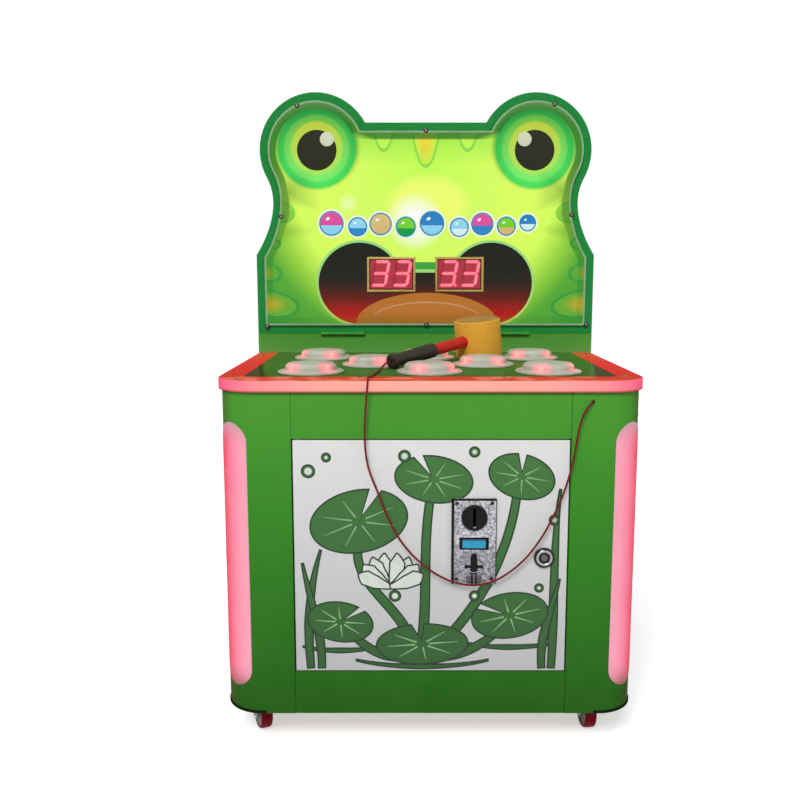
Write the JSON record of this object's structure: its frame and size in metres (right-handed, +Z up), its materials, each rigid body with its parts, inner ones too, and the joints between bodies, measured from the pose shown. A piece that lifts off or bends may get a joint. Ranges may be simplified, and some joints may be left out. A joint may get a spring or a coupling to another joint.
{
  "type": "pounding game machine",
  "caption": "Children's pounding arcade machine: cabinet on castors, lit push buttons in the deck, folding lit head board with score displays, coin door and a mallet on a cord.",
  "frame": {"origin": "on the floor, midway across the width and midway between the rear face and the foremost fitting of the coin door", "axes": "+X to the player's right, +Y from the player to the rear, +Z up"},
  "size_m": [0.622, 0.5337, 1.0241],
  "materials": {
    "cabinet_paint": "glossy leaf-green lacquer",
    "head_paint": "glossy deep-green lacquer",
    "door_board": "white lacquered board with a printed picture",
    "board": "plain fibreboard",
    "border_acrylic": "glossy orange-red sheet",
    "playfield_acrylic": "high-gloss green sheet",
    "lamp_acrylic": "lit pink moulded lens",
    "rim_acrylic": "lit pink light strip",
    "head_acrylic": "back-lit printed sheet",
    "light_diffuser": "frosted diffuser",
    "bezel_plastic": "frosted translucent moulding",
    "cap_plastic": "frosted translucent dome",
    "black_plastic": "black moulded plastic",
    "display": "red filter in a gilt frame",
    "coin_steel": "speckled silver die casting",
    "lock_chrome": "polished chrome",
    "zinc": "zinc plate",
    "wheel_rubber": "dark red polyurethane",
    "circuit": "green circuit board",
    "mallet_foam": "soft yellow foam rubber",
    "mallet_tube": "red tube",
    "grip_foam": "dark foam grip",
    "cord_braid": "red braided cord"
  },
  "bodies": {
    "root": {"base_plate": "board", "left_side_panel": "cabinet_paint", "right_side_panel": "cabinet_paint", "left_corner_lens": "lamp_acrylic", "right_corner_lens": "lamp_acrylic", "front_top_rail": "cabinet_paint", "front_bottom_rail": "cabinet_paint", "rear_panel": "cabinet_paint", "power_inlet": "black_plastic", "deck_board": "board", "rim_light": "rim_acrylic", "playfield_sheet": "playfield_acrylic", "deck_border": "border_acrylic", "button_bezel_1": "bezel_plastic", "button_bezel_2": "bezel_plastic", "button_bezel_3": "bezel_plastic", "button_bezel_4": "bezel_plastic", "button_bezel_5": "bezel_plastic", "button_bezel_6": "bezel_plastic", "button_bezel_7": "bezel_plastic", "button_bezel_8": "bezel_plastic", "riser_box": "cabinet_paint", "cash_box": "zinc", "control_board": "circuit", "mallet_cord": "cord_braid"},
    "door": {"door_leaf": "door_board", "door_pivot_rod": "zinc", "lock_body": "lock_chrome", "coin_plate": "coin_steel", "coin_entry": "black_plastic", "coin_mech": "black_plastic"},
    "lock": {"lock_cam": "lock_chrome"},
    "lever": {"return_lever": "black_plastic"},
    "button_1": {"button_cap_1": "cap_plastic"},
    "button_2": {"button_cap_2": "cap_plastic"},
    "button_3": {"button_cap_3": "cap_plastic"},
    "button_4": {"button_cap_4": "cap_plastic"},
    "button_5": {"button_cap_5": "cap_plastic"},
    "button_6": {"button_cap_6": "cap_plastic"},
    "button_7": {"button_cap_7": "cap_plastic"},
    "button_8": {"button_cap_8": "cap_plastic"},
    "head": {"head_frame": "head_paint", "head_shell": "head_paint", "head_panel": "head_acrylic", "left_score_display": "display", "right_score_display": "display", "head_light_bar": "light_diffuser", "left_head_hinge": "zinc", "right_head_hinge": "zinc"},
    "mallet": {"mallet_head": "mallet_foam", "mallet_handle": "mallet_tube", "mallet_grip": "grip_foam"},
    "castor_1": {"castor_fork_1": "zinc"},
    "castor_2": {"castor_fork_2": "zinc"},
    "castor_3": {"castor_fork_3": "zinc"},
    "castor_4": {"castor_fork_4": "zinc"},
    "wheel_1": {"castor_wheel_1": "wheel_rubber"},
    "wheel_2": {"castor_wheel_2": "wheel_rubber"},
    "wheel_3": {"castor_wheel_3": "wheel_rubber"},
    "wheel_4": {"castor_wheel_4": "wheel_rubber"}
  },
  "joints": [
    {"name": "door_swing", "type": "hinge", "parent": "root", "child": "door", "pos_m": [-0.1887, -0.25135, 0.296], "axis": [0, 0, -1], "range_deg": [0, 110]},
    {"name": "lock_turn", "type": "hinge", "parent": "door", "child": "lock", "pos_m": [0.1644, -0.25135, 0.29595], "axis": [0, 1, 0], "range_deg": [0, 90]},
    {"name": "lever_press", "type": "slide", "parent": "door", "child": "lever", "axis": [0, 0, -1], "range_m": [0, 0.006], "stiffness_N_per_m": 60, "springref_m": -0.003},
    {"name": "button_press_1", "type": "slide", "parent": "root", "child": "button_1", "axis": [0, 0, -1], "range_m": [0, 0.005], "stiffness_N_per_m": 400, "springref_m": -0.004},
    {"name": "button_press_2", "type": "slide", "parent": "root", "child": "button_2", "axis": [0, 0, -1], "range_m": [0, 0.005], "stiffness_N_per_m": 400, "springref_m": -0.004},
    {"name": "button_press_3", "type": "slide", "parent": "root", "child": "button_3", "axis": [0, 0, -1], "range_m": [0, 0.005], "stiffness_N_per_m": 400, "springref_m": -0.004},
    {"name": "button_press_4", "type": "slide", "parent": "root", "child": "button_4", "axis": [0, 0, -1], "range_m": [0, 0.005], "stiffness_N_per_m": 400, "springref_m": -0.004},
    {"name": "button_press_5", "type": "slide", "parent": "root", "child": "button_5", "axis": [0, 0, -1], "range_m": [0, 0.005], "stiffness_N_per_m": 400, "springref_m": -0.004},
    {"name": "button_press_6", "type": "slide", "parent": "root", "child": "button_6", "axis": [0, 0, -1], "range_m": [0, 0.005], "stiffness_N_per_m": 400, "springref_m": -0.004},
    {"name": "button_press_7", "type": "slide", "parent": "root", "child": "button_7", "axis": [0, 0, -1], "range_m": [0, 0.005], "stiffness_N_per_m": 400, "springref_m": -0.004},
    {"name": "button_press_8", "type": "slide", "parent": "root", "child": "button_8", "axis": [0, 0, -1], "range_m": [0, 0.005], "stiffness_N_per_m": 400, "springref_m": -0.004},
    {"name": "head_fold", "type": "hinge", "parent": "root", "child": "head", "pos_m": [0, 0.16135, 0.59065], "axis": [1, 0, 0], "range_deg": [0, 55]},
    {"name": "mallet_lift", "type": "slide", "parent": "root", "child": "mallet", "axis": [0, 0, 1], "range_m": [0, 0.4], "deforming": ["mallet_cord"]},
    {"name": "castor_swivel_1", "type": "hinge", "parent": "root", "child": "castor_1", "pos_m": [-0.25, -0.21135, 0.055], "axis": [0, 0, 1], "continuous": true},
    {"name": "castor_swivel_2", "type": "hinge", "parent": "root", "child": "castor_2", "pos_m": [0.25, -0.21135, 0.055], "axis": [0, 0, 1], "continuous": true},
    {"name": "castor_swivel_3", "type": "hinge", "parent": "root", "child": "castor_3", "pos_m": [-0.25, 0.20265, 0.055], "axis": [0, 0, 1], "continuous": true},
    {"name": "castor_swivel_4", "type": "hinge", "parent": "root", "child": "castor_4", "pos_m": [0.25, 0.20265, 0.055], "axis": [0, 0, 1], "continuous": true},
    {"name": "wheel_spin_1", "type": "hinge", "parent": "castor_1", "child": "wheel_1", "pos_m": [-0.2593, -0.19141, 0.025], "axis": [-0.9063, -0.4226, 0], "continuous": true},
    {"name": "wheel_spin_2", "type": "hinge", "parent": "castor_2", "child": "wheel_2", "pos_m": [0.24732, -0.18951, 0.025], "axis": [-0.9925, -0.1219, 0], "continuous": true},
    {"name": "wheel_spin_3", "type": "hinge", "parent": "castor_3", "child": "wheel_3", "pos_m": [-0.24248, 0.22332, 0.025], "axis": [-0.9397, 0.342, 0], "continuous": true},
    {"name": "wheel_spin_4", "type": "hinge", "parent": "castor_4", "child": "wheel_4", "pos_m": [0.2407, 0.22259, 0.025], "axis": [-0.9063, -0.4226, 0], "continuous": true}
  ]
}
